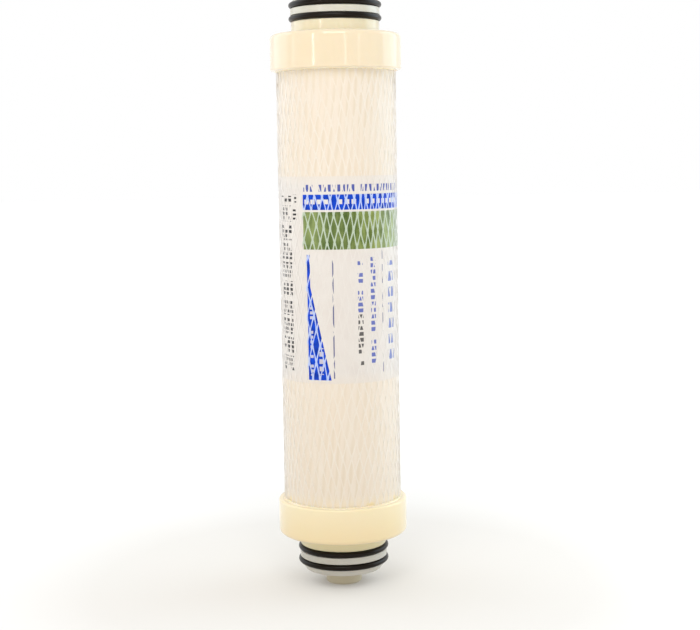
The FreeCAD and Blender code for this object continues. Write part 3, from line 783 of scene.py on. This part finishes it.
# ------------------------------------------------------------------ adhesive at the rims
def bond(end, upper, blobs):
    """The adhesive ring: soaked through the net onto the tape, and squeezed out past the rim in an uneven bead."""
    profile = rounded([(22.90, 27.0), (24.12, 27.0), (24.12, 35.38), (24.00, 35.62, 0.1), (23.78, 35.74, 0.1), (22.90, 35.82)], steps=3)

    def wobble(a, rs, zs):
        top = np.clip((zs - 34.0) / 1.0, 0, 1)
        lift = 0.07 * math.sin(9 * a + 1.0) + 0.05 * math.sin(23 * a + 2.0) + 0.04 * math.sin(51 * a) - 0.07
        for centre, size_mm, width in blobs:
            d = (a - centre + math.pi) % (2 * math.pi) - math.pi
            lift += size_mm * math.exp(-(d / width) ** 2)
        return rs, np.minimum(zs + top * lift, 35.88)

    lathe("bond_ring_%s_bead" % end, profile, M_BOND, ("bond_ring_%s" % end,), upper=upper, segments=360,
          wobble=wobble)


def honey_drop(name, degrees, height, wide, tall, upper):
    """A drop of darker resin on the bead: a flattened ball, bent round the rim."""
    rows, cols = 10, 20
    verts, faces = [], []
    for i in range(rows + 1):
        for j in range(cols):
            v, u = math.pi * i / rows, 2 * math.pi * j / cols
            turn = math.radians(degrees - 90) + wide * math.sin(v) * math.cos(u) / 23.9
            r = 23.93 + 0.17 * math.sin(v) * math.sin(u)
            z = height + tall * math.cos(v)
            verts.append((r * math.cos(turn) * MM, r * math.sin(turn) * MM, (TOTAL - z if upper else z) * MM))
    for i in range(rows):
        for j in range(cols):
            n = (j + 1) % cols
            quad = (i * cols + j, (i + 1) * cols + j, (i + 1) * cols + n, i * cols + n)
            faces.append(quad[::-1] if upper else quad)
    add_object(name, verts, faces, M_BEAD, sharp=80.0)


front = -math.pi / 2
bond("lower", False, [(front - 1.16, 0.5, 0.05), (front + 1.16, 0.5, 0.06), (front + 0.49, 0.4, 0.05), (1.9, 0.5, 0.08)])
bond("upper", True, [(0.4, 0.5, 0.07), (2.6, 0.5, 0.06)])
honey_drop("bond_ring_lower_drop_left", -66.0, 35.36, 0.95, 0.52, False)
honey_drop("bond_ring_lower_drop_right", 66.5, 35.36, 0.90, 0.50, False)
honey_drop("bond_ring_lower_drop_front", 28.0, 35.40, 1.30, 0.46, False)

# ------------------------------------------------------------------ floor
floor_mesh = bpy.data.meshes.new("studio_floor")
floor_mesh.from_pydata([(-6, -6, 0), (6, -6, 0), (6, 6, 0), (-6, 6, 0)], [], [(0, 1, 2, 3)])
floor = bpy.data.objects.new("studio_floor", floor_mesh)
scene.collection.objects.link(floor)
mat, nodes, links, shader = new_material("studio_paper")
length = nodes.new("ShaderNodeVectorMath")
length.operation = "LENGTH"
links.new(place(nodes, links), length.inputs[0])
reach = math_node(nodes, links, "MULTIPLY", length.outputs["Value"], 2.0)
# painted shade: the paper's colour is darker close to the element
links.new(ramp(nodes, links, reach, [(0.10, (0.490, 0.478, 0.462)), (0.60, (0.555, 0.552, 0.548))]),
          shader.inputs["Base Color"])
# backlit paper: it glows, and least where the element stands on it, a painted shadow pool that is darkest at the
# element's foot
paper_glow_with_painted_shadow = ramp(nodes, links, reach, [
    (0.0146, (0.170, 0.160, 0.145)), (0.026, (0.290, 0.275, 0.250)), (0.05, (0.323, 0.305, 0.276)), (0.20, (0.335, 0.320, 0.294)),
    (0.27, (0.400, 0.392, 0.375)), (0.37, (0.430, 0.427, 0.420)), (0.50, (0.490, 0.490, 0.490)), (0.75, (0.550, 0.550, 0.550)),
    (1.0, (0.640, 0.640, 0.640))])
links.new(paper_glow_with_painted_shadow, shader.inputs["Emission Color"])
shader.inputs["Emission Strength"].default_value = 1.0
shader.inputs["Roughness"].default_value = 0.9
floor_mesh.materials.append(mat)

# ------------------------------------------------------------------ light
world = bpy.data.worlds.new("studio_world")
scene.world = world
world.use_nodes = True
tree = world.node_tree
soft = tree.nodes["Background"]
# brighter overhead than at the horizon
coord = tree.nodes.new("ShaderNodeTexCoord")
split = tree.nodes.new("ShaderNodeSeparateXYZ")
tree.links.new(coord.outputs["Generated"], split.inputs[0])
sky = ramp(tree.nodes, tree.links, split.outputs["Z"],
           [(0.0, (0.345, 0.340, 0.330)), (0.5, (0.62, 0.615, 0.60)), (1.0, (0.92, 0.91, 0.89))])
# and the white paper stands bright behind the element
behind = tree.nodes.new("ShaderNodeMapRange")
behind.inputs["From Min"].default_value = 0.15
behind.inputs["From Max"].default_value = 0.75
tree.links.new(split.outputs["Y"], behind.inputs["Value"])
sky = mix_colour(tree.nodes, tree.links, behind.outputs["Result"], sky, (1.15, 1.15, 1.14))
tree.links.new(sky, soft.inputs["Color"])
soft.inputs["Strength"].default_value = 0.87
paper = tree.nodes.new("ShaderNodeBackground")
paper.inputs["Color"].default_value = (1.0, 1.0, 1.0, 1.0)
path = tree.nodes.new("ShaderNodeLightPath")
pick = tree.nodes.new("ShaderNodeMixShader")
tree.links.new(path.outputs["Is Camera Ray"], pick.inputs["Fac"])
tree.links.new(soft.outputs[0], pick.inputs[1])
tree.links.new(paper.outputs[0], pick.inputs[2])
tree.links.new(pick.outputs[0], tree.nodes["World Output"].inputs["Surface"])


def area(name, azimuth, elevation, distance, width, height, watts, colour=(1, 1, 1), aim=0.12):
    """A soft box that looks at the element, aim high. Azimuth 0 is the camera's side, positive to the right."""
    light = bpy.data.lights.new(name, "AREA")
    light.shape = "RECTANGLE"
    light.size, light.size_y, light.energy, light.color = width, height, watts, colour
    obj = bpy.data.objects.new(name, light)
    a, e = math.radians(azimuth), math.radians(elevation)
    target = Vector((0, 0, aim))
    obj.location = target + distance * Vector((math.sin(a) * math.cos(e), -math.cos(a) * math.cos(e), math.sin(e)))
    obj.rotation_euler = (target - obj.location).to_track_quat("-Z", "Y").to_euler()
    scene.collection.objects.link(obj)
    return obj


area("key_soft", -4, 42, 0.8, 0.5, 0.5, 3.0, aim=0.17)
area("top_fill", 0, 35, 0.18, 0.1, 0.1, 0.015, aim=0.235)
area("rim_left", -112, 16, 0.8, 0.60, 0.9, 2.3, colour=(0.80, 0.90, 1.0), aim=0.16)
area("rim_right", 111, 14, 0.8, 0.60, 0.9, 3.6, colour=(0.70, 0.87, 1.0), aim=0.16)
area("strip_left", -38, 5, 1.5, 0.045, 1.4, 2.9)
area("strip_right", 17, 5, 1.5, 0.035, 1.4, 1.0)
area("strip_side", 41, 5, 1.5, 0.04, 1.4, 0.8)
area("low_right", 88, 3, 0.20, 0.05, 0.10, 0.032, colour=(0.88, 0.94, 1.0), aim=0.05)
area("strip_far_left", -77, 5, 1.5, 0.08, 1.4, 1.0)

# ------------------------------------------------------------------ camera, fitted to the photograph
cam_data = bpy.data.cameras.new("camera")
cam = bpy.data.objects.new("camera", cam_data)
scene.collection.objects.link(cam)
scene.camera = cam
cam_data.sensor_fit = "HORIZONTAL"
cam_data.sensor_width = 36.0
cam_data.lens = 73.5
cam_data.clip_start, cam_data.clip_end = 0.01, 50.0
pitch, roll = math.radians(6.2), math.radians(0.9)
forward = Vector((0, math.cos(pitch), -math.sin(pitch)))
right = Vector((1, 0, 0))
up = right.cross(forward)
spin = Matrix.Rotation(roll, 3, forward)
right, up = spin @ right, spin @ up
rot = Matrix((right, up, -forward)).transposed()
cam.matrix_world = Matrix.Translation(Vector((0.0041, -0.573, 0.17166))) @ rot.to_4x4()

scene.view_settings.view_transform = "Standard"
scene.view_settings.look = "None"
scene.view_settings.exposure = 0.0
scene.view_settings.gamma = 1.0
